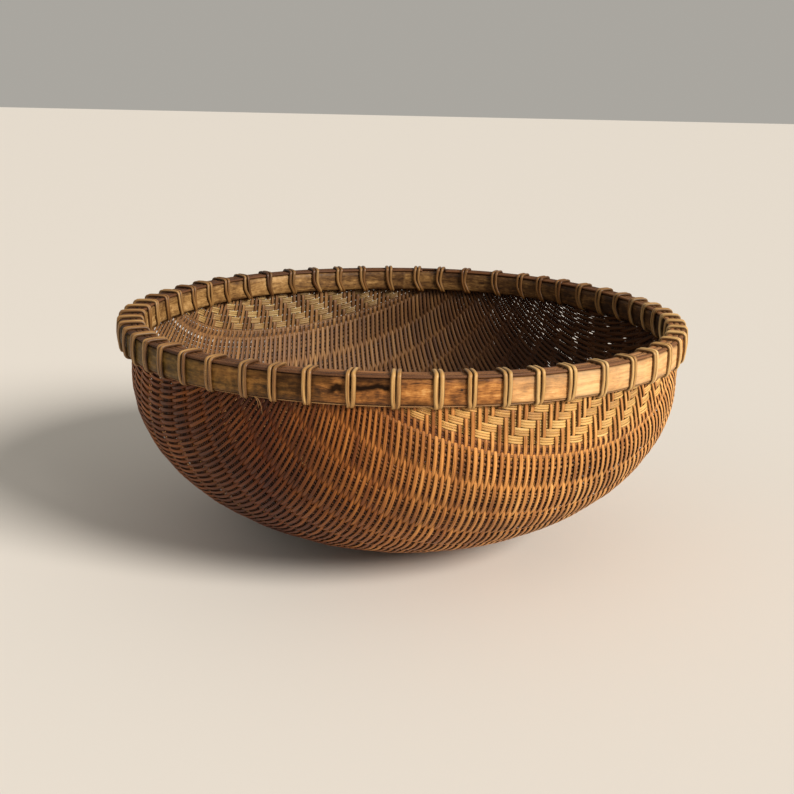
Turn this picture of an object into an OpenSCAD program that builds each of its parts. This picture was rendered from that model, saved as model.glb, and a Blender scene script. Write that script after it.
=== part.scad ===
// Round winnowing basket: a woven bowl in two plies, bound between two
// bamboo hoops with cap canes and double cane lashings.
// Millimetres, +Z up, origin at the centre of the base, front towards -Y.

/* [Overall] */
// Diameter over the lashings of the rim
overall_d = 420; // [380:1:460]
// Height from the resting face to the top of the lashings
overall_h = 172; // [165:1:190]
// Direction of the wall strands, from the front towards the right
weave_turn = 30; // [0:1:90]

/* [Woven wall] */
// Thickness of the outer ply, the weft bundles
weft_t = 1.8; // [1.2:0.1:2.4]
// Thickness of the inner ply, the strands
strand_t = 1.0; // [0.6:0.1:1.4]
// Number of weft bundles, counted along the middle strand
bundle_n = 16; // [16:1:16]
// Gap between neighbouring bundles
bundle_gap = 0.6; // [0.2:0.1:1.2]
// Width taken by one band of strands
band_w = 8.8; // [8.8:0.1:9.4]
// Gap between neighbouring bands
band_gap = 0.5; // [0.2:0.1:1]
// Height where the twill splints start
twill_z = 111; // [106:1:120]
// Number of twill splints at each end of the middle strand
twill_n = 9; // [6:1:10]
// Gap between neighbouring twill splints
twill_gap = 0.5; // [0.2:0.1:1]

/* [Bowl outline] */
// Height where the wall stands upright
belly_z = 129.2; // [127:0.1:130.5]
// Depth of the bowl's curve below that height
belly = 131.9; // [131:0.1:134]

/* [Rim] */
// Height of the outer hoop
hoop_h = 16.4; // [14:0.1:18]
// Height of the inner hoop
inner_hoop_h = 16.2; // [12:0.1:16.4]
// Thickness of the outer hoop
hoop_t = 3.0; // [2.4:0.1:3.2]
// Thickness of the inner hoop
inner_hoop_t = 5.5; // [4:0.1:6]
// Thickness of the cap canes
cap_t = 2.1; // [1.6:0.1:2.4]
// Height of the packing strip under the outer hoop
packing_h = 1.9; // [1.2:0.1:2]

/* [Lashings] */
// Number of lashing stations round the rim
lashing_n = 57; // [54:3:60]
// Width of one lashing cane
lashing_w = 2.7; // [2:0.1:3]
// Thickness of one lashing cane
lashing_t = 2.3; // [1.8:0.1:2.4]
// Distance between the two canes of one station, centre to centre
lashing_pair = 3.5; // [3.4:0.1:4.5]

/* [Hidden] */

slack = 0.1;                                  // clearance between plies
lashing_r = overall_d / 2;                    // outside of the lashings
hoop_r = lashing_r - lashing_t - slack;       // outside of the outer hoop
bowl_r = hoop_r - hoop_t - slack;             // outside of the wall
strand_off = weft_t + slack;                  // depth of the inner ply
wall_t = strand_off + strand_t;
inner_hoop_r = bowl_r - wall_t - slack;       // outside of the inner hoop
cap_top = overall_h - lashing_t - slack;
hoop_top = cap_top - cap_t - slack;
hoop_low = hoop_top - hoop_h;
wall_top = hoop_top - 0.4;
rim_in = inner_hoop_r - inner_hoop_t;               // inside of the inner hoop
inner_cap_w = hoop_r - 7.5 - rim_in;          // reaches the inner face
pass_top = hoop_low - packing_h - 2 * slack;  // lashings cross the wall here
pass_low = pass_top - lashing_t;
fan_z = 330;     // the strips' side faces fan out from a line at this height
facets = 180;
segs = 12;
t0 = acos(belly_z / belly);
turn = -90 + weave_turn;                      // strands run along local X

// point of the bowl's outline at angle t from straight down, moved in by off
function rim_point(t, off) =
  let (n = [sin(t) / bowl_r, -cos(t) / belly], l = norm(n))
  [bowl_r * sin(t) - off * n[0] / l, belly_z - belly * cos(t) - off * n[1] / l];

// half section of one face of the wall, from the axis out and up
function face_line(off) = concat(
  [[0, off], [rim_point(t0, off)[0], off]],
  [for (i = [1:segs]) rim_point(t0 + (90 - t0) * i / segs, off)],
  [[bowl_r - off, wall_top]]);

function backwards(v) = [for (i = [len(v) - 1:-1:0]) v[i]];

// point at distance s along a line of points
function along(v, s, i = 0) =
  let (d = norm(v[i + 1] - v[i]))
  (s <= d || i + 2 >= len(v)) ? v[i] + (v[i + 1] - v[i]) * s / d
                              : along(v, s - d, i + 1);

function length_of(v, i = 0) =
  i + 1 >= len(v) ? 0 : norm(v[i + 1] - v[i]) + length_of(v, i + 1);

// distance from the axis, along the outline, of the height z on the wall
function reach(v, z, i = 0) =
  v[i + 1][1] >= z && v[i + 1][1] > v[i][1]
    ? norm(v[i + 1] - v[i]) * (z - v[i][1]) / (v[i + 1][1] - v[i][1])
    : norm(v[i + 1] - v[i]) + reach(v, z, i + 1);

outside = face_line(0);
s_top = length_of(outside);
s_twill = reach(outside, twill_z);
bundle_w = 2 * s_twill / bundle_n;
twill_w = (s_top - s_twill) / twill_n;
band_n = 2 * floor(s_top / band_w);

function station(s) = let (p = along(outside, abs(s))) [sign(s) * p[0], p[1]];

module ply(off, thick) {
  rotate_extrude($fn = facets)
    polygon(concat(face_line(off), backwards(face_line(off + thick))));
}

// wedge that runs along local Y and holds the outline from s0 to s1
module wedge(s0, s1) {
  apex = [0, fan_z];
  a = apex + 1.7 * (station(s0) - apex);
  b = apex + 1.7 * (station(s1) - apex);
  rotate([90, 0, 0])
    linear_extrude(height = 3 * bowl_r, center = true) polygon([apex, a, b]);
}

module weft_strip(s0, s1) {
  rotate([0, 0, turn]) intersection() {
    ply(0, weft_t);
    wedge(s0, s1);
  }
}

module strand_strip(s0, s1) {
  rotate([0, 0, turn]) intersection() {
    ply(strand_off, strand_t);
    rotate([0, 0, 90]) wedge(s0, s1);
  }
}

// bundle of thin round splints that crosses under and over the strands
module weft_bundle(k) {
  s = -s_twill + (k - 1) * bundle_w;
  color(k % 2 == 0 ? "peru" : "sienna")
    weft_strip(s + bundle_gap / 2, s + bundle_w - bundle_gap / 2);
}

// wide flat pale splints between the bundles and the rim; side is 1 or -1
module twill_splints(side) {
  color("burlywood") for (i = [0:twill_n - 1]) {
    s = s_twill + i * twill_w;
    a = s + twill_gap / 2;
    b = s + twill_w - twill_gap / 2;
    weft_strip(side > 0 ? a : -b, side > 0 ? b : -a);
  }
}

// one eighth of the strands, in bands that lie side by side
module strands(part) {
  share = ceil(band_n / 8);
  color(part % 2 == 0 ? "saddlebrown" : "chocolate")
    for (i = [part * share:min(band_n, (part + 1) * share) - 1]) {
      s = (i - band_n / 2) * band_w;
      strand_strip(s + band_gap / 2, s + band_w - band_gap / 2);
    }
}

// flat band with eased edges, as a ring
module band_ring(r_out, thick, low, high, ease) {
  rotate_extrude($fn = facets) polygon([
    [r_out - thick, low + ease], [r_out - thick + ease, low],
    [r_out - ease, low], [r_out, low + ease],
    [r_out, high - ease], [r_out - ease, high],
    [r_out - thick + ease, high], [r_out - thick, high - ease]]);
}

// slanted scarf cut where a hoop's two ends lap each other
module scarf(angle, r, low, high) {
  rotate([0, 0, angle]) translate([r, 0, (low + high) / 2])
    rotate([0, 0, 80]) cube([60, 0.3, high - low + 4], center = true);
}

module outer_hoop() {
  color("darkgoldenrod") difference() {
    band_ring(hoop_r, hoop_t, hoop_low, hoop_top, 0.6);
    scarf(128, hoop_r - hoop_t / 2, hoop_low, hoop_top);
  }
}

module inner_hoop() {
  color("goldenrod") difference() {
    band_ring(inner_hoop_r, inner_hoop_t, hoop_top - inner_hoop_h, hoop_top, 0.6);
    scarf(-12, inner_hoop_r - inner_hoop_t / 2, hoop_low, hoop_top);
  }
}

// thin strip that fills the space between the outer hoop and the lashings
module packing_strip() {
  color("tan") difference() {
    band_ring(bowl_r + slack + 2.2, 2.2, pass_top + slack,
              pass_top + slack + packing_h, 0.3);
    rotate([0, 0, -158]) translate([bowl_r, 0, pass_top])
      cube([20, 34, 12], center = true);
  }
}

// canes that cap the hoops; each has its own joint
module cap_cane(r_out, wide, joint, open) {
  difference() {
    band_ring(r_out, wide, hoop_top + slack, hoop_top + slack + cap_t, 0.5);
    rotate([0, 0, joint]) translate([r_out - wide / 2, 0, hoop_top + cap_t / 2])
      cube([wide + 6, open, cap_t + 4], center = true);
  }
}

module cap_cane_outer() { color("saddlebrown") cap_cane(hoop_r, 3.4, 214, 0.6); }
module cap_cane_middle() { color("sienna") cap_cane(hoop_r - 3.5, 3.9, 82, 22); }
module cap_cane_inner() { color("saddlebrown") cap_cane(hoop_r - 7.5, inner_cap_w, 82, 22); }

// one lashing cane: it passes through the wall below the hoops, so each
// leg ends in a foot that stands against the wall
module lashing_cane() {
  e = 0.7;
  foot_out = bowl_r + slack;
  foot_in = bowl_r - wall_t - slack;
  out = lashing_r;
  in = rim_in - slack - lashing_t;
  rotate([90, 0, 0])
    linear_extrude(height = lashing_w, center = true) polygon([
      [foot_out, pass_low + e], [foot_out, pass_top],
      [out - lashing_t, pass_top], [out - lashing_t, cap_top + slack],
      [in + lashing_t, cap_top + slack], [in + lashing_t, pass_top],
      [foot_in, pass_top], [foot_in, pass_low + e],
      [foot_in - e, pass_low], [in + 2 * e, pass_low], [in, pass_low + 2 * e],
      [in, overall_h - 2 * e], [in + 2 * e, overall_h],
      [out - 2 * e, overall_h], [out, overall_h - 2 * e],
      [out, pass_low + 2 * e], [out - 2 * e, pass_low],
      [foot_out + e, pass_low]]);
}

// stations from first to last - 1, two canes at each
module lashings(first, last) {
  half = lashing_pair / 2 / lashing_r * 180 / PI;
  color("wheat") for (i = [first:last - 1]) for (side = [-1, 1])
    rotate([0, 0, -90 + (i + 0.5) * 360 / lashing_n + side * half])
      lashing_cane();
}

// frayed end of a lashing that hangs in front of the wall
module loose_lashing_end() {
  color("wheat") rotate([0, 0, -90 - 26])
    translate([lashing_r - 2.4, 0, pass_low - slack - 9])
      union() {
        cylinder(h = 9, d = 1.3, $fn = 32);
        rotate([-50, 0, 0]) cylinder(h = 0.65, d = 1.3, $fn = 32);
        translate([0, 0, 0]) sphere(d = 1.3, $fn = 32);
        rotate([128, 0, 0]) cylinder(h = 4.5, d = 1.3, $fn = 32);
      }
}

weft_bundle(1);  // weft_bundle_01
weft_bundle(2);  // weft_bundle_02
weft_bundle(3);  // weft_bundle_03
weft_bundle(4);  // weft_bundle_04
weft_bundle(5);  // weft_bundle_05
weft_bundle(6);  // weft_bundle_06
weft_bundle(7);  // weft_bundle_07
weft_bundle(8);  // weft_bundle_08
weft_bundle(9);  // weft_bundle_09
weft_bundle(10);  // weft_bundle_10
weft_bundle(11);  // weft_bundle_11
weft_bundle(12);  // weft_bundle_12
weft_bundle(13);  // weft_bundle_13
weft_bundle(14);  // weft_bundle_14
weft_bundle(15);  // weft_bundle_15
weft_bundle(16);  // weft_bundle_16
twill_splints(1);  // twill_splints_front
twill_splints(-1);  // twill_splints_back
strands(0);  // strands_left_outer
strands(1);  // strands_left_upper
strands(2);  // strands_left_lower
strands(3);  // strands_middle_left
strands(4);  // strands_middle_right
strands(5);  // strands_right_lower
strands(6);  // strands_right_upper
strands(7);  // strands_right_outer
outer_hoop();
inner_hoop();
packing_strip();
cap_cane_outer();
cap_cane_middle();
cap_cane_inner();
lashings(47, 57);  // lashings_front_left
lashings(38, 47);  // lashings_left
lashings(28, 38);  // lashings_back_left
lashings(19, 28);  // lashings_back_right
lashings(10, 19);  // lashings_right
lashings(0, 10);  // lashings_front_right
loose_lashing_end();
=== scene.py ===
import math

import bpy
import numpy as np
from mathutils import Matrix, Vector


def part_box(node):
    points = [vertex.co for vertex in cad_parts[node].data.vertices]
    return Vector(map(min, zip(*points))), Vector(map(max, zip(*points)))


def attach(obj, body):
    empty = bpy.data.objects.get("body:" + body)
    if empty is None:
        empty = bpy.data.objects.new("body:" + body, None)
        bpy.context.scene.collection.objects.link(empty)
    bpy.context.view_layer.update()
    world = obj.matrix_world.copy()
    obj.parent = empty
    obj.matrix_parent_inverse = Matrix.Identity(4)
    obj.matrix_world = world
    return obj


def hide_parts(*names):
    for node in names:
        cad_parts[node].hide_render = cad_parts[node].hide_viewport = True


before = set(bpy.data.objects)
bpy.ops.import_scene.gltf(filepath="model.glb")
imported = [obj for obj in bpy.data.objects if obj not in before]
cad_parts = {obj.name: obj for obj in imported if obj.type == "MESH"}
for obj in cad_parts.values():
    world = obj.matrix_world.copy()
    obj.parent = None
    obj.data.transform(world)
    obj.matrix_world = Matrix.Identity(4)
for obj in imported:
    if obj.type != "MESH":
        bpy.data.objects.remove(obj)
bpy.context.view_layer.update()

RNG = np.random.default_rng(7)

# ------------------------------------------------------------------ sizes
# everything in metres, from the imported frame


def box(node):
    lo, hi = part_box(node)
    return np.array(lo, float), np.array(hi, float)


HOOP_LO, HOOP_HI = box("outer_hoop")
HOOP_R = (HOOP_HI[0] - HOOP_LO[0]) / 2           # outside of the outer hoop
IN_LO, IN_HI = box("inner_hoop")
INNER_R = (IN_HI[0] - IN_LO[0]) / 2              # outside of the inner hoop
CAP_LO, CAP_HI = box("cap_cane_outer")
LASH_LO, LASH_HI = box("lashings_front_left")
LASH_R = max(box("lashings_right")[1][0], -box("lashings_left")[0][0])
TOP = LASH_HI[2]
BOWL_R = HOOP_R - 0.0031                          # outside of the wall
HOOP_T = 0.003
BELLY_Z, BELLY = 0.1292, 0.1319
FAN_Z = 0.330
WALL_TOP = HOOP_HI[2] - 0.0004
MID = 0.00178                                     # depth of the weave's middle

# ------------------------------------------------------------------ outline
t0 = math.acos(BELLY_Z / BELLY)
_t = np.linspace(t0, math.pi / 2, 240)
_r = np.concatenate([np.linspace(0, BOWL_R * math.sin(t0), 40)[:-1], BOWL_R * np.sin(_t),
                     np.full(40, BOWL_R)])
_z = np.concatenate([np.zeros(39), BELLY_Z - BELLY * np.cos(_t),
                     np.linspace(BELLY_Z, WALL_TOP, 41)[1:]])
_s = np.concatenate([[0], np.cumsum(np.hypot(np.diff(_r), np.diff(_z)))])
_rho = _r / (FAN_Z - _z)
_dr = np.gradient(_r, _s)
_dz = np.gradient(_z, _s)
_l = np.hypot(_dr, _dz)
_nr, _nz = _dz / _l, -_dr / _l                    # outward normal
RHO_MAX = _rho[-1]

# weave coordinates: U counts the outer strands, V the weft bundles
CU = np.array([52.9296, 20.5902, -16.0588, 0.5989, 0.9931, -6.3249, 4.4695, -4.2813,
               5.0698, 10.5445, -4.5526, 0.3249]) * 1.08
CV = np.array([6.0666, -6.8558, 0.3498, 2.0405, -1.5732, -1.0273, -0.6296, -0.1131,
               1.0871, -0.4143, -0.3856, 0.4388])


def poly(q, c):
    x, y = q[..., 0], q[..., 1]
    b = np.stack([x, y, x**3, x*x*y, x*y*y, y**3, x**5, x**4*y, x**3*y*y,
                  x*x*y**3, x*y**4, y**5], -1)
    return b @ c


def grad(q, c):
    x, y = q[..., 0], q[..., 1]
    o, z = np.ones_like(x), np.zeros_like(x)
    gx = np.stack([o, z, 3*x*x, 2*x*y, y*y, z, 5*x**4, 4*x**3*y, 3*x*x*y*y,
                   2*x*y**3, y**4, z], -1)
    gy = np.stack([z, o, z, x*x, 2*x*y, 3*y*y, z, x**4, 2*x**3*y, 3*x*x*y*y,
                   4*x*y**3, 5*y**4], -1)
    return np.stack([gx @ c, gy @ c], -1)


def newton(q, a, b, ca, cb, n=3):
    for _ in range(n):
        fa, fb = poly(q, ca) - a, poly(q, cb) - b
        ga, gb = grad(q, ca), grad(q, cb)
        det = ga[..., 0] * gb[..., 1] - ga[..., 1] * gb[..., 0]
        dx = (fa * gb[..., 1] - fb * ga[..., 1]) / det
        dy = (ga[..., 0] * fb - gb[..., 0] * fa) / det
        q = q - np.stack([dx, dy], -1)
    return q


_rr = np.linspace(0, RHO_MAX, 160)
_th = np.linspace(0, 2 * np.pi, 721)
_Q = np.stack([_rr[:, None] * np.cos(_th), _rr[:, None] * np.sin(_th)], -1)
_QR = np.hypot(_Q[..., 0], _Q[..., 1])


def trace(values, ca, cb, step):
    """Curves of constant A = value: (index of the first B step, points) for each."""
    A = poly(_Q, ca)
    seeds = []
    for v in values:
        cost = _QR + 1e3 * (np.abs(A - v) > 0.45)
        seeds.append(_Q.reshape(-1, 2)[np.argmin(cost)])
    q = np.array(seeds)
    values = np.asarray(values, float)
    b0 = np.round(poly(q, cb) / step)
    q = newton(q, values, b0 * step, ca, cb, 6)
    out = []
    both = []
    for sign in (1, -1):
        cur, b = q.copy(), b0.copy()
        rows = [cur.copy()]
        alive = np.ones(len(cur), bool)
        live = [alive.copy()]
        for _ in range(int(24 / step) if ca is CU else int(124 / step)):
            b = b + sign
            ga, gb = grad(cur, ca), grad(cur, cb)
            det = ga[:, 0] * gb[:, 1] - ga[:, 1] * gb[:, 0]
            cur = cur + np.stack([-ga[:, 1], ga[:, 0]], -1) / det[:, None] * sign * step
            cur = newton(cur, values, b * step, ca, cb, 2)
            alive &= np.hypot(cur[:, 0], cur[:, 1]) < RHO_MAX
            cur[~alive] = q[~alive]
            b[~alive] = b0[~alive]
            rows.append(cur.copy())
            live.append(alive.copy())
            if not alive.any():
                break
        both.append((np.array(rows), np.array(live)))
    for i in range(len(values)):
        up, ul = both[0]
        dn, dl = both[1]
        n1, n2 = int(ul[:, i].sum()), int(dl[:, i].sum())
        pts = np.concatenate([dn[1:n2, i][::-1], up[:n1, i]])
        out.append((int(b0[i]) - (n2 - 1), pts))
    return out


def lift(q, inset):
    """Point and outward normal on the wall for a plane point, inset inwards."""
    rho = np.hypot(q[..., 0], q[..., 1])
    az = np.arctan2(q[..., 0], -q[..., 1])
    s = np.interp(rho, _rho, _s)
    r, z = np.interp(s, _s, _r), np.interp(s, _s, _z)
    nr, nz = np.interp(s, _s, _nr), np.interp(s, _s, _nz)
    k = np.hypot(nr, nz)
    nr, nz = nr / k, nz / k
    rr = r - inset * nr
    P = np.stack([rr * np.sin(az), -rr * np.cos(az), z - inset * nz], -1)
    N = np.stack([nr * np.sin(az), -nr * np.cos(az), nz], -1)
    return P, N, z


def warp(P):
    """Slight unevenness of the hand-made rim and bowl."""
    az = np.arctan2(P[:, 0], -P[:, 1])
    w = np.clip((P[:, 2] - 0.02) / 0.12, 0, 1)
    w = w * w * (3 - 2 * w)
    r = np.hypot(P[:, 0], P[:, 1]) + 1e-9
    dr = 0.0010 * np.sin(az) + 0.0004 * np.sin(3 * az + 2.1) + 0.00030 * np.sin(7 * az + 0.4)
    # the outer hoop stands off the wall at the left
    gap = np.abs((np.degrees(az) + 92 + 180) % 360 - 180) / 46.0
    dr = dr + 0.0046 * np.exp(-gap ** 2) * np.clip((r - BOWL_R - 0.0002) / 0.0032, 0, 1) * (P[:, 2] > 0.1)
    dz = (0.00015 - 0.0013 * np.cos(az) + 0.0010 * np.sin(az) + 0.00115 * np.cos(2 * az)
          + 0.0003 * np.sin(5 * az + 1.0))
    f = 1 + w * dr / r
    return np.stack([P[:, 0] * f, P[:, 1] * f, P[:, 2] + w * dz], -1)


# ------------------------------------------------------------------ meshes
OVAL = np.array([(-1, 0), (-.64, .78), (0, 1), (.64, .78), (1, 0), (.64, -.78), (0, -1), (-.64, -.78)])
FLAT = np.array([(-1, 0), (-.88, .72), (-.45, 1), (.45, 1), (.88, .72), (1, 0), (.88, -.72), (.45, -1),
                 (-.45, -1), (-.88, -.72)])


class Sweeps:
    """Many swept splints gathered into one mesh."""

    def __init__(self):
        self.v, self.f, self.a, self.i, self.n = [], [], [], [], 0

    def add(self, P, N, w, t, prof, sid, closed=False, along0=0.0):
        n, m = len(P), len(prof)
        if n < 3:
            return
        if closed:
            T = np.roll(P, -1, 0) - np.roll(P, 1, 0)
        else:
            T = np.gradient(P, axis=0)
        T /= np.linalg.norm(T, axis=1, keepdims=True) + 1e-12
        N = N - (N * T).sum(1, keepdims=True) * T
        N /= np.linalg.norm(N, axis=1, keepdims=True) + 1e-12
        B = np.cross(T, N)
        w = np.broadcast_to(w, n)
        t = np.broadcast_to(t, n)
        V = (P[:, None] + B[:, None] * (prof[None, :, :1] * w[:, None, None] / 2)
             + N[:, None] * (prof[None, :, 1:] * t[:, None, None] / 2))
        L = np.concatenate([[0], np.cumsum(np.linalg.norm(np.diff(P, axis=0), axis=1))]) + along0
        att = np.empty((n, m, 3))
        att[..., 0] = L[:, None]
        att[..., 1] = prof[None, :, 0]
        att[..., 2] = sid
        idx = np.arange(n * m).reshape(n, m) + self.n
        a = idx if closed else idx[:-1]
        b = np.roll(idx, -1, 0) if closed else idx[1:]
        quads = np.stack([a, np.roll(a, -1, 1), np.roll(b, -1, 1), b], -1).reshape(-1, 4)
        self.v.append(V.reshape(-1, 3))
        self.a.append(att.reshape(-1, 3))
        self.i.append(np.tile(0.5 - 0.5 * prof[:, 1], n))
        self.f.append(quads[:, ::-1])
        self.n += n * m
        if not closed:
            self.caps = getattr(self, "caps", [])
            self.caps.append(idx[0])
            self.caps.append(idx[-1][::-1])

    def build(self, name, mat, nodes, slot):
        V = warp(np.concatenate(self.v))
        Q = np.concatenate(self.f).astype(np.int32)
        caps = getattr(self, "caps", [])
        loops = [Q.reshape(-1)] + [c.astype(np.int32) for c in caps]
        sizes = np.concatenate([np.full(len(Q), 4), [len(c) for c in caps]]).astype(np.int32)
        flat = np.concatenate(loops)
        me = bpy.data.meshes.new(name)
        me.vertices.add(len(V))
        me.vertices.foreach_set("co", V.astype(np.float32).reshape(-1))
        me.loops.add(len(flat))
        me.loops.foreach_set("vertex_index", flat)
        me.polygons.add(len(sizes))
        starts = np.concatenate([[0], np.cumsum(sizes)[:-1]]).astype(np.int32)
        me.polygons.foreach_set("loop_start", starts)
        me.polygons.foreach_set("use_smooth", np.ones(len(sizes), bool))
        at = me.attributes.new("fib", "FLOAT_VECTOR", "POINT")
        at.data.foreach_set("vector", np.concatenate(self.a).astype(np.float32).reshape(-1))
        at = me.attributes.new("inner", "FLOAT", "POINT")
        at.data.foreach_set("value", np.concatenate(self.i).astype(np.float32))
        me.update(calc_edges=True)
        me.validate()
        ob = bpy.data.objects.new(name, me)
        bpy.context.scene.collection.objects.link(ob)
        me.materials.append(mat)
        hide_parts(*nodes)
        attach(ob, "root")
        return ob


# ------------------------------------------------------------------ materials
class Nodes:
    def __init__(self, name):
        self.mat = bpy.data.materials.new(name)
        self.mat.use_nodes = True
        self.t = self.mat.node_tree
        self.t.nodes.clear()
        self.out = self.t.nodes.new("ShaderNodeOutputMaterial")
        self.b = self.t.nodes.new("ShaderNodeBsdfPrincipled")
        self.t.links.new(self.b.outputs[0], self.out.inputs[0])

    def put(self, socket, value):
        if isinstance(value, (int, float)):
            socket.default_value = value
        elif isinstance(value, (tuple, list)):
            socket.default_value = value
        else:
            self.t.links.new(value, socket)

    def math(self, op, a, b=0.0, c=0.0, clamp=False):
        n = self.t.nodes.new("ShaderNodeMath")
        n.operation = op
        n.use_clamp = clamp
        self.put(n.inputs[0], a)
        self.put(n.inputs[1], b)
        self.put(n.inputs[2], c)
        return n.outputs[0]

    def attr(self, name="fib"):
        n = self.t.nodes.new("ShaderNodeAttribute")
        n.attribute_type = "GEOMETRY"
        n.attribute_name = name
        s = self.t.nodes.new("ShaderNodeSeparateXYZ")
        self.t.links.new(n.outputs["Vector"], s.inputs[0])
        return s.outputs[0], s.outputs[1], s.outputs[2]

    def inner(self):
        n = self.t.nodes.new("ShaderNodeAttribute")
        n.attribute_type = "GEOMETRY"
        n.attribute_name = "inner"
        return n.outputs["Fac"]

    def pos(self):
        n = self.t.nodes.new("ShaderNodeTexCoord")
        s = self.t.nodes.new("ShaderNodeSeparateXYZ")
        self.t.links.new(n.outputs["Object"], s.inputs[0])
        return n.outputs["Object"], s.outputs[0], s.outputs[1], s.outputs[2]

    def vec(self, x, y, z):
        n = self.t.nodes.new("ShaderNodeCombineXYZ")
        for k, v in enumerate((x, y, z)):
            self.put(n.inputs[k], v)
        return n.outputs[0]

    def noise(self, vector, scale, detail=3.0, rough=0.55):
        n = self.t.nodes.new("ShaderNodeTexNoise")
        self.put(n.inputs["Vector"], vector)
        self.put(n.inputs["Scale"], scale)
        self.put(n.inputs["Detail"], detail)
        self.put(n.inputs["Roughness"], rough)
        return n.outputs["Fac"]

    def white(self, value):
        n = self.t.nodes.new("ShaderNodeTexWhiteNoise")
        n.noise_dimensions = "1D"
        self.put(n.inputs["W"], value)
        return n.outputs["Value"]

    def ramp(self, fac, stops, mode="LINEAR"):
        n = self.t.nodes.new("ShaderNodeValToRGB")
        n.color_ramp.interpolation = mode
        e = n.color_ramp.elements
        while len(e) > 1:
            e.remove(e[-1])
        e[0].position = stops[0][0]
        e[0].color = (*stops[0][1], 1)
        for p, c in stops[1:]:
            k = e.new(p)
            k.color = (*c, 1)
        self.put(n.inputs[0], fac)
        return n.outputs[0]

    def mix(self, fac, a, b, kind="MIX"):
        n = self.t.nodes.new("ShaderNodeMix")
        n.data_type = "RGBA"
        n.blend_type = kind
        self.put(n.inputs[0], fac)
        self.put(n.inputs[6], a if not isinstance(a, tuple) else (*a, 1))
        self.put(n.inputs[7], b if not isinstance(b, tuple) else (*b, 1))
        return n.outputs[2]

    def remap(self, v, a, b, c, d):
        n = self.t.nodes.new("ShaderNodeMapRange")
        self.put(n.inputs["Value"], v)
        for k, x in (("From Min", a), ("From Max", b), ("To Min", c), ("To Max", d)):
            n.inputs[k].default_value = x
        return n.outputs[0]

    def bump(self, height, strength, distance):
        n = self.t.nodes.new("ShaderNodeBump")
        n.inputs["Strength"].default_value = strength
        n.inputs["Distance"].default_value = distance
        self.put(n.inputs["Height"], height)
        self.t.links.new(n.outputs[0], self.b.inputs["Normal"])


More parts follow.
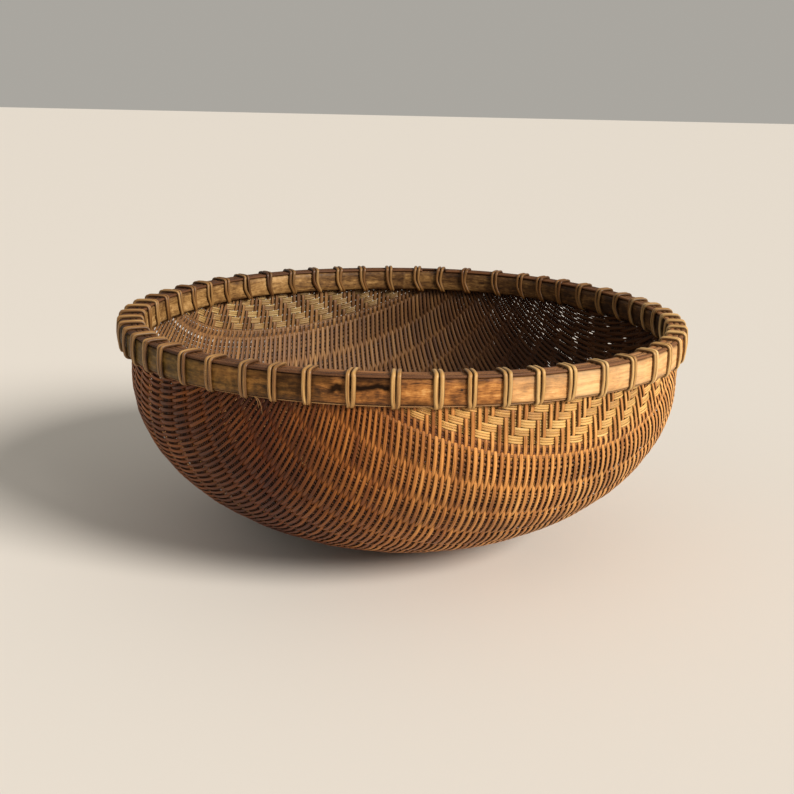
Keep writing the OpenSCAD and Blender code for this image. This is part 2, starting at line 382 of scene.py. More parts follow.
def cane(name, stops, rough=(0.42, 0.62), streak=(26.0, 2.6), depth=0.00012, stain=0.45,
         left_shade=0.25, edge_shade=0.35, spec=0.4, coat=0.0, stain_and_shade_to=(0.040, 0.016, 0.008), tone_w=0.5,
         side_light=0.0, inside=0.0, streak_w=0.62, back_shade=0.0, slow_w=None):
    """Split cane: one tone per splint, streaks along it, stains, and painted light and shade: dark edges, darker at
    the left and back, lighter at the right, darker inside.
    """
    m = Nodes(name)
    along, across, sid = m.attr()
    obj, px, py, pz = m.pos()
    tone = m.white(sid)
    fib = m.vec(m.math("MULTIPLY", along, streak[0]), m.math("MULTIPLY", across, streak[1]),
                m.math("MULTIPLY", sid, 91.7))
    streaks = m.noise(fib, 1.0, 4.0, 0.6)
    slow = m.noise(m.vec(m.math("MULTIPLY", along, 9.0), 0.0, m.math("MULTIPLY", sid, 37.1)), 1.0, 2.0)
    slow_w = 0.86 - tone_w if slow_w is None else slow_w
    k = m.math("ADD", m.math("MULTIPLY", tone, tone_w), m.math("MULTIPLY", slow, slow_w))
    k = m.math("ADD", k, 0.43 - (tone_w + slow_w) / 2)
    k = m.math("ADD", k, m.math("MULTIPLY", m.math("SUBTRACT", streaks, 0.5), streak_w))
    fine = m.noise(m.vec(m.math("MULTIPLY", along, streak[0] * 3), m.math("MULTIPLY", across, streak[1] * 3.2),
                         m.math("MULTIPLY", sid, 53.3)), 1.0, 3.0, 0.6)
    k = m.math("ADD", k, m.math("MULTIPLY", m.math("SUBTRACT", fine, 0.5), 0.35))
    # painted light and shade: lighter towards the right, darker towards the left
    if side_light:
        k = m.math("ADD", k, m.remap(px, -0.20, 0.20, -side_light, side_light))
    col = m.ramp(k, stops)
    # old dirt in patches, and painted shade darkening the edges of each splint
    patch = m.noise(obj, 13.0, 4.0, 0.6)
    patch = m.remap(patch, 0.47, 0.72, 0.0, stain)
    col = m.mix(patch, col, stain_and_shade_to)
    edge = m.math("POWER", m.math("ABSOLUTE", across), 3.0)
    col = m.mix(m.math("MULTIPLY", edge, edge_shade), col, stain_and_shade_to)
    # painted shade: darker towards the left, the side away from the key light
    side = m.remap(px, -0.20, 0.12, left_shade, 0.0)
    if inside:
        # painted shade: dark and redder on the outside at the left of the front, lighter towards the right
        side = m.math("MULTIPLY", side, m.remap(m.inner(), 0.35, 0.65, 0.0, 1.0))
        shade = m.ramp(m.math("DIVIDE", m.math("ADD", px, 0.21), 0.42),
                       [(0.02, (0.60, 0.42, 0.21)), (0.14, (0.45, 0.29, 0.125)), (0.30, (0.21, 0.098, 0.032)),
                        (0.42, (0.57, 0.42, 0.26)), (0.56, (0.96, 0.86, 0.74)), (0.74, (1.0, 1.0, 0.97))])
        col = m.mix(m.remap(m.inner(), 0.35, 0.65, 1.0, 0.0), col, shade, "MULTIPLY")
    col = m.mix(side, col, (0.42, 0.36, 0.32), "MULTIPLY") if left_shade else col
    if back_shade:
        # painted shade: darker at the back, most of all at its right
        b = m.math("MULTIPLY", m.remap(py, -0.02, 0.11, 0.0, 1.0), m.remap(px, -0.18, 0.08, 0.45, back_shade))
        col = m.mix(b, col, (0.30, 0.215, 0.135), "MULTIPLY")
    if inside:
        # painted shade inside the bowl: the inside is duller and darker, darkest at the right
        inn = m.remap(m.inner(), 0.35, 0.65, 0.0, 1.0)
        col = m.mix(m.math("MULTIPLY", inn, 0.14), col, (0.30, 0.20, 0.115))
        col = m.mix(m.math("MULTIPLY", inn, inside), col, (0.71, 0.80, 0.88), "MULTIPLY")
        col = m.mix(m.math("MULTIPLY", inn, m.remap(px, -0.19, 0.09, 0.0, 0.97)), col, (0.135, 0.080, 0.052), "MULTIPLY")
    m.put(m.b.inputs["Base Color"], col)
    m.put(m.b.inputs["Roughness"], m.remap(streaks, 0.25, 0.75, rough[0], rough[1]))
    m.b.inputs["Specular IOR Level"].default_value = spec
    if coat:
        m.b.inputs["Coat Weight"].default_value = coat
        m.b.inputs["Coat Roughness"].default_value = 0.35
    m.bump(m.math("ADD", streaks, m.math("MULTIPLY", fine, 0.6)), 0.9, depth)
    return m.mat


STRAND = cane("strand_cane", [(0.10, (0.10, 0.032, 0.010)), (0.32, (0.30, 0.108, 0.028)),
                              (0.52, (0.63, 0.280, 0.075)), (0.74, (0.84, 0.465, 0.160)),
                              (0.96, (0.95, 0.69, 0.38))], tone_w=0.16, slow_w=0.50, edge_shade=0.60, stain=0.45, left_shade=0.45, side_light=0.07,
              inside=0.80, rough=(0.42, 0.64), spec=0.22, streak_w=1.0)
# darker than the strands: painted shade for the wefts that lie in the gaps between them
WEFT = cane("weft_cane", [(0.15, (0.040, 0.013, 0.005)), (0.40, (0.13, 0.045, 0.014)),
                          (0.62, (0.32, 0.14, 0.045)), (0.88, (0.62, 0.36, 0.15))], stain=0.50, left_shade=0.4,
            inside=0.6, spec=0.2, rough=(0.5, 0.7))
TWILL = cane("twill_cane", [(0.10, (0.22, 0.085, 0.020)), (0.34, (0.54, 0.27, 0.066)),
                            (0.58, (0.75, 0.45, 0.135)), (0.90, (0.92, 0.68, 0.31))], tone_w=0.30,
             streak=(24.0, 2.2), stain=0.34, edge_shade=0.35, left_shade=0.2, depth=0.00030, inside=0.80,
             streak_w=1.0, spec=0.5)
PACK = cane("packing_cane", [(0.12, (0.08, 0.030, 0.012)), (0.40, (0.20, 0.085, 0.03)),
                             (0.66, (0.36, 0.18, 0.06)), (0.92, (0.55, 0.32, 0.13))], stain=0.5)
LASH = cane("lashing_cane", [(0.10, (0.13, 0.050, 0.013)), (0.34, (0.38, 0.185, 0.052)),
                             (0.58, (0.66, 0.40, 0.140)), (0.90, (0.90, 0.67, 0.36))],
            rough=(0.34, 0.54), streak=(46.0, 2.4), stain=0.50, edge_shade=0.95, left_shade=0.50, side_light=0.08, back_shade=0.92,
            tone_w=0.3, spec=0.32, streak_w=1.0)
CAP = cane("cap_cane", [(0.12, (0.045, 0.017, 0.007)), (0.36, (0.145, 0.058, 0.021)),
                        (0.60, (0.28, 0.122, 0.045)), (0.90, (0.54, 0.30, 0.125))],
           streak=(20.0, 2.6), stain=0.30, edge_shade=-0.0, left_shade=0.0, side_light=0.16, spec=0.22, back_shade=0.70,
           rough=(0.48, 0.7), streak_w=0.95)


def hoop_material(name, stops, left, marks, dots=(), pales=()):
    m = Nodes(name)
    along, across, sid = m.attr()
    obj, px, py, pz = m.pos()
    warpn = m.noise(m.vec(m.math("MULTIPLY", along, 26.0), m.math("MULTIPLY", across, 1.1), 3.3), 1.0, 2.0)
    wav = m.math("ADD", m.math("MULTIPLY", across, 3.6), m.math("MULTIPLY", warpn, 2.6))
    grain = m.noise(m.vec(m.math("MULTIPLY", along, 38.0), wav, 0.7), 1.0, 5.0, 0.62)
    fine = m.noise(m.vec(m.math("MULTIPLY", along, 170.0), m.math("MULTIPLY", wav, 4.6), 5.1), 1.0, 4.0, 0.65)
    slow = m.noise(m.vec(m.math("MULTIPLY", along, 21.0), m.math("MULTIPLY", across, 0.5), 9.9), 1.0, 2.0)
    mott = m.noise(m.vec(m.math("MULTIPLY", along, 210.0), m.math("MULTIPLY", across, 2.2), 8.8), 1.0, 3.0, 0.6)
    k = m.math("ADD", m.math("MULTIPLY", grain, 0.70), m.math("MULTIPLY", m.math("SUBTRACT", slow, 0.5), 1.0))
    k = m.math("ADD", k, m.math("MULTIPLY", m.math("SUBTRACT", fine, 0.5), 0.85))
    k = m.math("ADD", k, m.math("MULTIPLY", m.math("SUBTRACT", mott, 0.36), 0.62))
    # painted light and shade: lighter towards one side and darker towards the other by world x; left sets which and
    # how much
    k = m.math("ADD", k, m.remap(px, -0.18, 0.16, -left, left))
    col = m.ramp(k, stops)
    if left > 0:
        # olive and darker towards the left; the darkening is painted shade
        olive = m.ramp(m.math("ADD", m.math("MULTIPLY", mott, 0.55), m.math("MULTIPLY", grain, 0.45)),
                       [(0.30, (0.035, 0.018, 0.003)), (0.50, (0.115, 0.064, 0.012)), (0.72, (0.32, 0.185, 0.042))])
        col = m.mix(m.remap(px, -0.150, -0.030, 0.85, 0.0), col, olive)
    for x0, x1, amount in pales:
        # paler stretches of the band, at the right of the front
        f = m.math("MULTIPLY", m.remap(along, x0, x0 + 0.006, 0, 1), m.remap(along, x1 - 0.006, x1, 1, 0))
        f = m.math("MULTIPLY", f, m.remap(grain, 0.30, 0.62, amount * 0.45, amount))
        col = m.mix(f, col, (0.86, 0.56, 0.27))
    # painted shade along both edges of the band, where it meets the cap and the weave
    edge = m.math("POWER", m.math("ABSOLUTE", across), 6.0)
    col = m.mix(m.math("MULTIPLY", edge, 0.70), col, (0.05, 0.022, 0.010))
    height = m.math("ADD", grain, m.math("MULTIPLY", fine, 0.7))
    shine = 0.18
    for x0, x1, y0, amp, wid, dark in marks:
        # a burnt streak that wanders along the band
        wig = m.noise(m.vec(m.math("MULTIPLY", along, 95.0), 0.0, y0 * 7 + 2.0), 1.0, 2.0)
        yc = m.math("ADD", y0, m.math("MULTIPLY", m.math("SUBTRACT", wig, 0.5), amp))
        d = m.math("ABSOLUTE", m.math("SUBTRACT", across, yc))
        inside = m.math("MULTIPLY", m.remap(along, x0, x0 + 0.004, 0, 1), m.remap(along, x1 - 0.004, x1, 1, 0))
        f = m.math("MULTIPLY", m.remap(d, wid * 0.35, wid, 1.0, 0.0), inside)
        f = m.math("MULTIPLY", f, dark)
        col = m.mix(f, col, (0.014, 0.007, 0.004))
        shine = m.math("MULTIPLY", shine, m.math("SUBTRACT", 1.0, f))
    for x0, y0, rad in dots:
        dx = m.math("DIVIDE", m.math("SUBTRACT", along, x0), rad)
        dy = m.math("DIVIDE", m.math("SUBTRACT", across, y0), rad / 0.0082)
        d = m.math("SQRT", m.math("ADD", m.math("MULTIPLY", dx, dx), m.math("MULTIPLY", dy, dy)))
        col = m.mix(m.remap(d, 0.6, 1.0, 0.95, 0.0), col, (0.015, 0.008, 0.006))
    m.put(m.b.inputs["Base Color"], col)
    m.put(m.b.inputs["Roughness"], m.remap(fine, 0.3, 0.7, 0.40, 0.62))
    if isinstance(shine, float):
        m.b.inputs["Specular IOR Level"].default_value = shine
    else:
        m.put(m.b.inputs["Specular IOR Level"], shine)
    m.bump(height, 0.9, 0.00022)
    return m.mat


# ------------------------------------------------------------------ weave
NW = lambda g: 5 if g in (7, -8) else 6
AMP = 0.00120
DV_ROW = 0.2
TW0 = 8.27                                # where the twill rows start
SPAN = 0.66                               # share of a bundle that its splints fill


def bulge(f):
    return np.tanh(1.3 * np.sin(np.pi * f)) / math.tanh(1.3)


def row_sign(u, k, side):
    """Strand outside (+1) or inside (-1) of twill row k; at the back the short floats are inside."""
    return np.where(np.mod(np.floor(u + 1e-6) - 1 - k, 5.0) < 1.5, -1.0, 1.0) * side


def join(V):
    """0 in the bundles, 1 in the twill, where two strands lie on each other."""
    f = np.clip((np.abs(V) - 8.07) / 0.20, 0, 1)
    return f * f * (3 - 2 * f)


def strand_height(u, par, V):
    av = np.abs(V)
    g = np.floor(V)
    main = AMP * np.where(np.mod(g + par, 2) == 0, 1.0, -1.0) * bulge(V - g)
    # twill rows beyond eight bundles
    side = np.sign(V)
    x = (av - TW0) / DV_ROW - 0.5
    k0 = np.floor(x)
    f = x - k0
    f = f * f * (3 - 2 * f)
    pair = np.floor(u + 1e-6) * side
    s0 = np.where(k0 < 0, 0.0, row_sign(pair, k0, side))
    s1 = np.where(k0 + 1 < 0, 0.0, row_sign(pair, k0 + 1, side))
    tw = 0.00060 * (s0 * (1 - f) + s1 * f)
    thin = np.sin(np.pi * np.clip((av - 8.0) / (TW0 - 8.0), 0, 1))
    tw = tw + 0.6 * AMP * np.where(np.mod(g + par, 2) == 0, 1.0, -1.0) * thin
    tw = tw + (1 if par == 0 else -1) * 0.00030 * join(V)
    return np.where(av > 8.0, tw, main + (1 if par == 0 else -1) * 0.00030 * join(V))


def rim_flat(z):
    """The weave is pressed flat between the hoops."""
    f = np.clip((z - 0.1445) / 0.006, 0, 1)
    return 1 - 0.42 * f


STEP_V = 1 / 14.0
FINE = 3                                 # extra samples in the twill rows
us = np.arange(-62.0, 62.1, 0.5)
traced = trace(us, CU, CV, STEP_V / 2)
groups = [("strands_left_outer", -99, -46), ("strands_left_upper", -46, -29.5),
          ("strands_left_lower", -29.5, -13), ("strands_middle_left", -13, 3.8),
          ("strands_middle_right", 3.8, 20.3), ("strands_right_lower", 20.3, 36.7),
          ("strands_right_upper", 36.7, 53.2), ("strands_right_outer", 53.2, 99)]


def loose(q):
    """Where the weave has opened up, at the right of the back and a little at the front."""
    az = np.degrees(np.arctan2(q[:, 0], -q[:, 1]))
    rho = np.hypot(q[:, 0], q[:, 1])
    a = np.clip(1 - ((az - 122) / 44) ** 2, 0, 1) * np.clip((rho - 0.55) / 0.25, 0, 1)
    b = 0.8 * np.clip(1 - ((az + 15) / 6) ** 2, 0, 1) * np.clip(1 - ((rho - 0.95) / 0.10) ** 2, 0, 1)
    return np.maximum(a, b)
gathered = {g[0]: Sweeps() for g in groups}


def smooth_noise(x, seed, period):
    r = np.random.default_rng(seed)
    tab = r.uniform(-1, 1, 4096)
    y = x / period
    i = np.floor(y).astype(int)
    f = y - i
    f = f * f * (3 - 2 * f)
    return tab[i % 4096] * (1 - f) + tab[(i + 1) % 4096] * f


for i, u in enumerate(us):
    i0, q = traced[i]
    V = (i0 + np.arange(len(q))) * (STEP_V / 2)
    keep = (np.abs(V) > 8.0 - STEP_V) | (np.arange(len(q)) % 2 == (i0 % 2))
    keep[0] = keep[-1] = True
    if keep.sum() < 8:
        continue
    par = 0 if abs(u - round(u)) < 0.1 else 1
    # local pitch of the over strands, on the wall
    gu = grad(q, CU)
    rho = np.hypot(q[:, 0], q[:, 1])
    zz = np.interp(rho, _rho, _z)
    rr_ = np.interp(rho, _rho, _r)
    sl = np.interp(rho, _rho, np.gradient(_s, _rho))
    er = q / (rho[:, None] + 1e-9)
    gr = (gu * er).sum(1) / sl
    gt = (gu[:, 1] * er[:, 0] - gu[:, 0] * er[:, 1]) / (FAN_Z - zz)
    pitch = 1 / np.hypot(gr, gt)
    f = V - np.floor(V)
    h = strand_height(u, par, V) * (1 + 0.10 * smooth_noise(V + 31 * i, 5, 0.9)) * rim_flat(zz)
    tw = join(V)
    sn = np.abs(np.sin(np.pi * f)) ** 0.8
    slack = loose(q) * np.clip(0.15 + 1.3 * smooth_noise(V + 7.7 * i, 14, 0.35), 0, 1)
    wid = pitch * (0.565 + 0.045 * (sn * (1 - tw) + tw)) * (1 - 0.42 * slack * (1 - sn) * (1 - tw))
    wid *= (1 + 0.10 * RNG.uniform(-1, 1)) * (1 + 0.05 * smooth_noise(V + 17 * i, 6, 0.7))
    wid *= 1 + 0.16 * np.clip((q[:, 1] + 0.05) / 0.05, 0, 1) * (1 - slack)
    wid = np.minimum(wid, 0.0034 + 0.0014 * np.clip((q[:, 1] + 0.05) / 0.05, 0, 1)
                     + 0.0012 * np.clip(q[:, 1] / 0.03, 0, 1))
    # small sideways wander, in the plane
    gv = grad(q, CU)
    wander = 0.035 * smooth_noise(V * 1.0 + 57 * i, 9, 1.3)
    if par:
        wander = wander * (1 - tw) - 0.5 * tw
    q2 = q + gv / (gv ** 2).sum(1, keepdims=True) * wander[:, None]
    q2 = newton(q2, u + wander, V, CU, CV, 1)
    P, N, z = lift(q2, MID - h)
    n = keep
    name = next(g[0] for g in groups if g[1] <= u < g[2])
    gathered[name].add(P[n], N[n], wid[n], 0.00068 * (1 + 0.15 * RNG.uniform(-1, 1)), OVAL,
                       float(RNG.uniform()))
for gname, sw in gathered.items():
    sw.build(gname + "_woven", STRAND, [gname], "wall_strand")

# wefts
STEP_U = 1 / 3.0


def weft_curves(values):
    return trace(values, CV, CU, STEP_U)


def v_pitch(q):
    gv = grad(q, CV)
    rho = np.hypot(q[:, 0], q[:, 1])
    zz = np.interp(rho, _rho, _z)
    sl = np.interp(rho, _rho, np.gradient(_s, _rho))
    er = q / (rho[:, None] + 1e-9)
    gr = (gv * er).sum(1) / sl
    gt = (gv[:, 1] * er[:, 0] - gv[:, 0] * er[:, 1]) / (FAN_Z - zz)
    return 1 / np.hypot(gr, gt), zz


for g in range(-8, 8):
    n = NW(g)
    vals = [g + 0.5 + (j - (n - 1) / 2) * SPAN / n for j in range(n)]
    if g in (7, -8):
        vals += [x if g == 7 else -x for x in (7.945, 8.045, 8.135, 8.225)]
    sw = Sweeps()
    for j, (i0, q) in enumerate(weft_curves(vals)):
        U = (i0 + np.arange(len(q))) * STEP_U
        pit, zz = v_pitch(q)
        sgn = 1 if g % 2 == 0 else -1
        h = -0.00013 * np.cos(2 * np.pi * U) * sgn
        wand = 0.010 * smooth_noise(U + 13 * j + 200 * g, 21, 6.0)
        gv = grad(q, CV)
        q2 = q + gv / (gv ** 2).sum(1, keepdims=True) * wand[:, None]
        P, N, z = lift(q2, MID - h)
        # packed close at the back, a little open at the front and where the weave has slackened
        back = np.clip((q[:, 1] + 0.05) / 0.05, 0, 1)
        holes = loose(q) * np.clip(0.35 + 1.2 * smooth_noise(U + 9.1 * j + 55 * g, 33, 4.0), 0, 1)
        share = 0.70 + 0.24 * back * (1 - holes)
        wid = np.clip(pit * SPAN / n * share, 0.0010, 0.0056) * (1 + 0.08 * RNG.uniform(-1, 1))
        if j >= n:
            wid = np.clip(pit * 0.088, 0.0007, 0.0040)
        sw.add(P, N, wid, (0.00102 if j < n else 0.00060) * rim_flat(zz), OVAL, float(RNG.uniform()))
    node = "weft_bundle_%02d" % (g + 9)
    sw.build(node + "_splints", WEFT, [node], "weft_splint")

for side, node in ((1, "twill_splints_front"), (-1, "twill_splints_back")):
    sw = Sweeps()
    rows = [(k, e) for k in range(11) for e in (-1, 0, 1) if TW0 + (k + 0.5 + 0.31 * e) * DV_ROW < 10.24]
    vals = [side * (TW0 + (k + 0.5 + 0.31 * e) * DV_ROW) for k, e in rows]
    tones = RNG.uniform(0, 1, 11)
    for (k, e), (i0, q) in zip(rows, trace(vals, CV, CU, 0.2)):
        if len(q) < 6:
            continue
        U = (i0 + np.arange(len(q))) * 0.2
        pit, zz = v_pitch(q)
        # the splint takes the side that the strands leave
        near = np.floor(U)
        f = U % 1.0
        f = f * f * (3 - 2 * f)
        s0 = row_sign(near * side, k, side)
        s1 = row_sign((near + 1) * side, k, side)
        h = -0.00062 * (s0 * (1 - f) + s1 * f) - 0.00010 * (abs(e) * np.sign(s0 + s1))
        P, N, z = lift(q, MID + h * -1)
        wid = np.clip(pit * DV_ROW * 0.345, 0.0006, 0.0020) * (1 + 0.10 * RNG.uniform(-1, 1))
        sw.add(P, N, wid, 0.00066, OVAL, float(tones[k] * 0.9 + 0.1 * RNG.uniform()))
    sw.build(node + "_woven", TWILL, [node], "twill_splint")

# ------------------------------------------------------------------ rim
def ring(r, z, w_t, angles):
    """Points round the rim; angles in radians from +X."""
    return np.stack([r * np.cos(angles), r * np.sin(angles), np.broadcast_to(z, angles.shape)], -1)


def band(name, mat, nodes, slot, r_out, thick, low, high, start, lap=0.0, gap=0.0, seg=900, seed=3,
         bow=0.0):
    """Flat band round the rim with eased edges; its ends lap or leave a gap."""
    turn = 2 * np.pi + lap - gap
    a = start + gap / 2 + np.linspace(0, turn, seg)
    n = len(a)
    if high - low > thick:
        ys = np.array([-1, -.97, -.86, -.5, -.17, .17, .5, .86, .97, 1])
        ease = 0.30
        prof_out = [(y, 1.0 if abs(y) < .9 else (0.72 if abs(y) < .99 else 0.3)) for y in ys]
    else:
        ys = np.array([-1, -.8, -.4, 0, .4, .8, 1])
        prof_out = [(y, {1: 0.25, .8: 0.75, .4: 0.97, 0: 1.0}[abs(float(y))]) for y in ys]
    # profile as (vertical -1..1, radial -1..1)
    prof = np.array([(y, x) for y, x in prof_out] + [(y, -x) for y, x in prof_out[::-1]])
    mid_r = r_out - thick / 2
    t = np.full(n, thick)
    r = np.full(n, mid_r)
    if lap:
        d0 = (a - a[0]) / lap
        d1 = (a[-1] - a) / lap
        k0, k1 = np.clip(d0, 0, 1), np.clip(d1, 0, 1)
        t = thick * np.minimum(0.30 + 0.70 * k0, 0.30 + 0.70 * k1)
        r = mid_r - (thick - t) / 2 * (d0 < 1) + (thick - t) / 2 * (d1 < 1)
    along = np.cumsum(np.concatenate([[0], np.diff(a)])) * mid_r
    V = np.empty((n, len(prof), 3))
    att = np.empty((n, len(prof), 3))
    az_front = np.mod(a + np.pi / 2 + np.pi, 2 * np.pi) - np.pi      # 0 at the front, + to the right
    hw = (high - low) / 2 * (1 + 0.012 * smooth_noise(along, seed, 0.05))
    zc = (high + low) / 2
    for j, (y, x) in enumerate(prof):
        rough = 0.00010 * smooth_noise(along + j * 0.31, seed + 1 + j, 0.011)
        rr = r + x * t / 2 * (1 + bow * (1 - y * y)) + rough * (1 if x > 0 else -1)
        V[:, j, 0] = rr * np.cos(a)
        V[:, j, 1] = rr * np.sin(a)
        V[:, j, 2] = zc + y * hw
        att[:, j, 0] = az_front * mid_r
        att[:, j, 1] = y
        att[:, j, 2] = seed * 0.137
    sw = Sweeps()
    m = len(prof)
    idx = np.arange(n * m).reshape(n, m)
    aa, bb = idx[:-1], idx[1:]
    quads = np.stack([aa, np.roll(aa, -1, 1), np.roll(bb, -1, 1), bb], -1).reshape(-1, 4)
    sw.v.append(V.reshape(-1, 3))
    sw.a.append(att.reshape(-1, 3))
    sw.i.append(np.zeros(n * m))
    sw.f.append(quads)
    sw.n = n * m
    sw.caps = [idx[0][::-1], idx[-1]]
    return sw.build(name, mat, nodes, slot)


D2R = math.pi / 180
HOOP_OUT = hoop_material("outer_hoop_bamboo", [(0.10, (0.025, 0.009, 0.003)), (0.30, (0.105, 0.037, 0.009)),
                                               (0.48, (0.27, 0.100, 0.022)), (0.66, (0.44, 0.180, 0.042)),
                                               (0.86, (0.60, 0.315, 0.105)), (1.04, (0.76, 0.50, 0.25))], 0.20,
                         [(-0.0465, -0.0335, 0.12, 1.3, 0.50, 0.97),
                          (-0.037, -0.0060, 0.95, 0.4, 0.72, 0.68), (-0.0355, -0.0050, 0.30, 0.9, 0.30, 1.0),
                          (0.0005, 0.0175, -0.86, 0.3, 0.34, 0.55),
                          (-0.064, -0.040, 0.75, 0.8, 0.55, 0.60), (-0.105, -0.066, 0.72, 1.2, 0.50, 0.45),
                          (0.030, 0.052, 0.80, 0.5, 0.30, 0.45),
                          (-0.084, -0.052, 0.25, 1.2, 1.30, 0.50), (0.078, 0.092, -0.30, 1.6, 0.45, 0.40)],
                         [(0.0345, 0.20, 0.0010)],
                         [(0.108, 0.131, 0.40), (0.104, 0.235, 0.55), (0.062, 0.108, 0.32)])
# a darker copy of the hoop bamboo: painted shade inside the rim, darker still towards the right
HOOP_IN = hoop_material("inner_hoop_bamboo", [(0.10, (0.022, 0.009, 0.003)), (0.30, (0.070, 0.030, 0.009)),
                                              (0.48, (0.155, 0.076, 0.023)), (0.66, (0.29, 0.155, 0.050)),
                                              (0.90, (0.50, 0.30, 0.12))], -0.20, [])
band("outer_hoop_band", HOOP_OUT, ["outer_hoop"], "outer_hoop_bamboo", HOOP_R, HOOP_T,
     HOOP_LO[2], HOOP_HI[2], 122 * D2R, lap=12 * D2R, bow=0.10, seed=3)
band("inner_hoop_band", HOOP_IN, ["inner_hoop"], "inner_hoop_bamboo", INNER_R, 0.0055,
     IN_LO[2], IN_HI[2], -18 * D2R, lap=12 * D2R, bow=0.05, seed=11)
pk_lo, pk_hi = box("packing_strip")
band("packing_strip_cane", PACK, ["packing_strip"], "twill_splint", BOWL_R + 0.0023, 0.0022,
     pk_lo[2] + 0.0010, pk_hi[2], -158 * D2R, gap=9.6 * D2R, seed=17)
RIM_IN = INNER_R - 0.0055
for cname, r_out, wide, joint, gap, seed in (("cap_cane_outer", HOOP_R, 0.0034, 214, 0.2, 23),
                                             ("cap_cane_middle", HOOP_R - 0.0035, 0.0039, 82, 6.2, 29),
                                             ("cap_cane_inner", HOOP_R - 0.0075, HOOP_R - 0.0075 - RIM_IN, 82, 6.2, 31)):
    c_lo, c_hi = box(cname)
    band(cname + "_strip", CAP, [cname], "cap_cane", r_out, wide, c_lo[2], c_hi[2], joint * D2R,
         gap=gap * D2R, seed=seed)

# lashings: two canes at each station, closed loops round the rim
RIM_IN = INNER_R - 0.0055
PASS = HOOP_LO[2] - 0.0011
# azimuths of the stations, from the front towards the right, in degrees
SPOTS = [-1.2, 5.8, 11.4, 17.4, 23.5, 29.8, 37.2, 44.9, 52.3, 58.8, 65.2, 71.5, 77.8, 84.2, 90.6, 97.0, 103.5,
         110.0, 116.4, 123.0, 129.8, 136.4, 142.3, 148.0, 155.3, 163.6, 170.2, 176.4, 183.9, 191.0, 197.3,
         203.9, 210.5, 217.3, 224.4, 230.9, 237.2, 243.4, 249.6, 255.8, 262.0, 268.2, 274.4, 280.6, 286.8,
         293.0, 299.2, 305.4, 311.1, 317.8, 324.5, 331.9, 337.6, 343.8, 351.3]


def lashing(sw, ang, side, rnd):
    w, t = 0.0030 * (1 + 0.05 * rnd.uniform(-1, 1)), 0.0019
    ro = HOOP_R + 0.0001 + t / 2
    ri = RIM_IN - 0.0001 - t / 2
    top = CAP_HI[2] + 0.0001 + t / 2
    half = 0.00172
    skew = 0.0034 + 0.0012 * rnd.uniform(-1, 1)
    tilt = 0.0004 * rnd.uniform(-1, 1)
    bowed = 0.0012 + 0.0008 * rnd.uniform(-1, 1)
    # (radius, height, sideways)
    key = [(BOWL_R - 0.0015, PASS - 0.0004, side * 0.40 * half + 0.4 * skew),
           (BOWL_R + 0.0016, PASS - 0.0006, side * 0.60 * half + 0.15 * skew),
           (ro - 0.0007, PASS + 0.0011, side * 0.72 * half),
           (ro, PASS + 0.0042, side * 0.93 * half + tilt * 0.5),
           (ro + 0.0005, (PASS + top) / 2, side * half + tilt),
           (ro, top - 0.0030, side * half + tilt),
           (ro - 0.0006, top - 0.0010, side * half),
           (ro - 0.0022, top + 0.0000, side * half),
           ((ro + ri) / 2, top + 0.0002, side * half),
           (ri + 0.0022, top + 0.0000, side * half),
           (ri + 0.0006, top - 0.0010, side * half),
           (ri, top - 0.0032, side * half - 0.35 * bowed),
           (ri - 0.0004, (PASS + top) / 2, side * half * 0.85 + 0.20 * skew - bowed),
           (ri, PASS + 0.0050, side * half * 0.66 + 0.55 * skew - 0.4 * bowed),
           (ri + 0.0010, PASS + 0.0014, side * half * 0.50 + 0.95 * skew),
           (BOWL_R - 0.0052, PASS - 0.0002, side * half * 0.50 + 0.9 * skew)]
    K = np.array(key)
    n = len(K)
    # closed Catmull-Rom through the points
    pts = []
    sub = 3
    for i in range(n):
        p0, p1, p2, p3 = K[(i - 1) % n], K[i], K[(i + 1) % n], K[(i + 2) % n]
        for j in range(sub):
            x = j / sub
            pts.append(0.5 * ((2 * p1) + (-p0 + p2) * x + (2 * p0 - 5 * p1 + 4 * p2 - p3) * x * x
                              + (-p0 + 3 * p1 - 3 * p2 + p3) * x ** 3))
    C = np.array(pts)
    er = np.array([math.cos(ang), math.sin(ang), 0])
    et = np.array([math.sin(ang), -math.cos(ang), 0])       # clockwise seen from above
    P = C[:, :1] * er + C[:, 2:] * et + C[:, 1:2] * np.array([0, 0, 1.0])
    cen = np.array([(ro + ri) / 2, (PASS + top) / 2])
    tang = np.roll(C, -1, 0) - np.roll(C, 1, 0)
    nr, nz = tang[:, 1], -tang[:, 0]
    flip = np.sign(nr * (C[:, 0] - cen[0]) + nz * (C[:, 1] - cen[1]))
    nr, nz = nr * flip, nz * flip
    N = nr[:, None] * er + nz[:, None] * np.array([0, 0, 1.0])
    N /= np.linalg.norm(N, axis=1, keepdims=True)
    sw.add(P, N, w, t, OVAL, float(rnd.uniform()), closed=True)


# sectors as in the frame, by angle from the front towards the right
for node, first, last in (("lashings_front_right", 0, 63), ("lashings_right", 63, 120),
                          ("lashings_back_right", 120, 177), ("lashings_back_left", 177, 240),
                          ("lashings_left", 240, 297), ("lashings_front_left", 297, 360)):
    sw = Sweeps()
    for i, spot in enumerate(SPOTS):
        if not first <= spot % 360 < last:
            continue
        rnd = np.random.default_rng(500 + i)
        ang = (-90 + spot) * D2R
        for side in (-1, 1):
            lashing(sw, ang, side, rnd)
    sw.build(node + "_canes", LASH, [node], "lashing_cane")

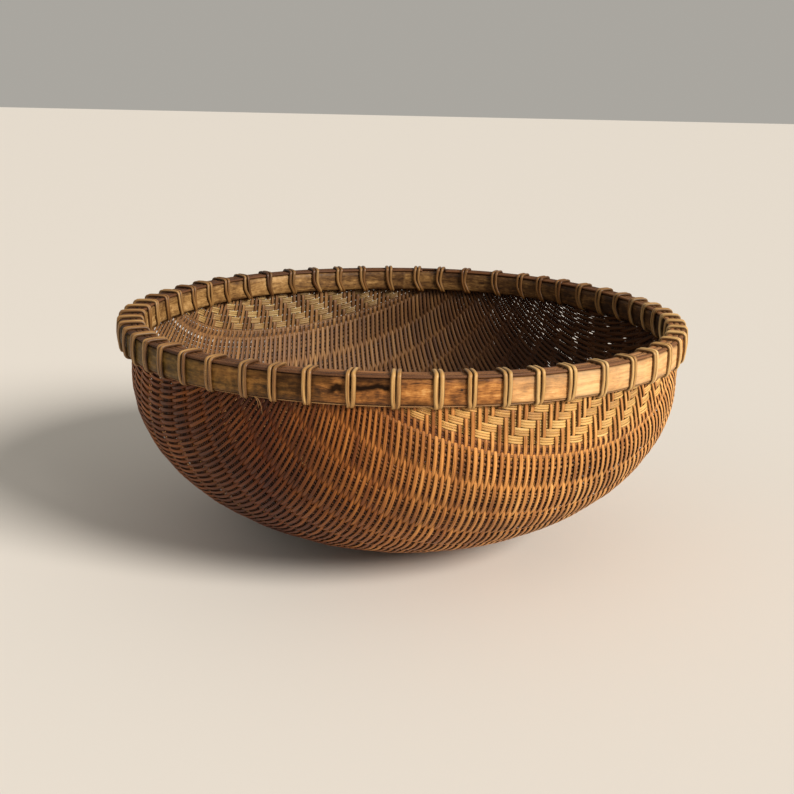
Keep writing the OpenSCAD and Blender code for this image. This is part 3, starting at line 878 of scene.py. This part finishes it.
# loose frayed end
lo, hi = box("loose_lashing_end")
sw = Sweeps()
ang = -116 * D2R
er = np.array([math.cos(ang), math.sin(ang), 0])
et = np.array([-math.sin(ang), math.cos(ang), 0])
for k, (dx, dz, w) in enumerate(((0.0066, -0.0105, 0.0009), (0.0040, -0.0065, 0.0005))):
    x = np.linspace(0, 1, 16)
    P = (er * (HOOP_R + 0.0004) + et * (dx * np.sin(x * 1.5))[:, None] + er * (0.0012 * np.sin(x * 2.4))[:, None]
         + np.array([0, 0, 1.0]) * (PASS + 0.0010 + dz * x ** 2.4)[:, None])
    sw.add(P, np.repeat(er[None], 16, 0), w * (1.1 - 0.7 * x), 0.0006 * (1.1 - 0.6 * x), OVAL, 0.3 + 0.1 * k)
sw.build("loose_lashing_fibres", LASH, ["loose_lashing_end"], "lashing_cane")

# ------------------------------------------------------------------ stage
me = bpy.data.meshes.new("floor")
S = 12.0
me.from_pydata([(-S, -S, 0), (S, -S, 0), (S, S, 0), (-S, S, 0)], [], [(0, 1, 2, 3)])
floor = bpy.data.objects.new("floor", me)
bpy.context.scene.collection.objects.link(floor)
fm = Nodes("floor_pale")
fm.b.inputs["Base Color"].default_value = (0.70, 0.660, 0.61, 1)
fm.b.inputs["Roughness"].default_value = 0.8
me.materials.append(fm.mat)

world = bpy.data.worlds.new("studio")
world.use_nodes = True
bg = world.node_tree.nodes["Background"]
bg.inputs[0].default_value = (1.0, 0.955, 0.87, 1)
bg.inputs[1].default_value = 0.40
bpy.context.scene.world = world


def area(name, loc, target, size, power, color):
    d = bpy.data.lights.new(name, "AREA")
    d.shape = "RECTANGLE"
    d.size, d.size_y = size
    d.energy = power
    d.color = color
    o = bpy.data.objects.new(name, d)
    o.location = loc
    o.rotation_euler = (Vector(target) - Vector(loc)).to_track_quat("-Z", "Y").to_euler()
    bpy.context.scene.collection.objects.link(o)
    return o


sun = bpy.data.lights.new("key", "SUN")
sun.energy = 4.8
sun.angle = math.radians(22)
sun.color = (1.0, 0.95, 0.88)
so = bpy.data.objects.new("key", sun)
so.rotation_euler = (-Vector((1.0, -0.80, 0.72))).to_track_quat("-Z", "Y").to_euler()
bpy.context.scene.collection.objects.link(so)
area("fill", (-1.3, -1.5, 1.2), (0, 0, 0.08), (1.6, 1.2), 2.5, (0.92, 0.96, 1.0))
bpy.context.scene.view_settings.view_transform = "Standard"

cam = bpy.data.cameras.new("camera")
cam.sensor_width = 36
cam.lens = 1202 / 794 * 36
cam.clip_start = 0.01
co = bpy.data.objects.new("camera", cam)
pitch, roll = math.radians(14.67), math.radians(1.23)
c, s = math.cos(pitch), math.sin(pitch)
fwd, up, right = Vector((0, c, -s)), Vector((0, s, c)), Vector((1, 0, 0))
r2 = right * math.cos(roll) + up * math.sin(roll)
u2 = up * math.cos(roll) - right * math.sin(roll)
M = Matrix((r2, u2, -fwd)).transposed().to_4x4()
M.translation = Vector((-0.0037, -0.8981, 0.3375))
co.matrix_world = M
bpy.context.scene.collection.objects.link(co)
bpy.context.scene.camera = co
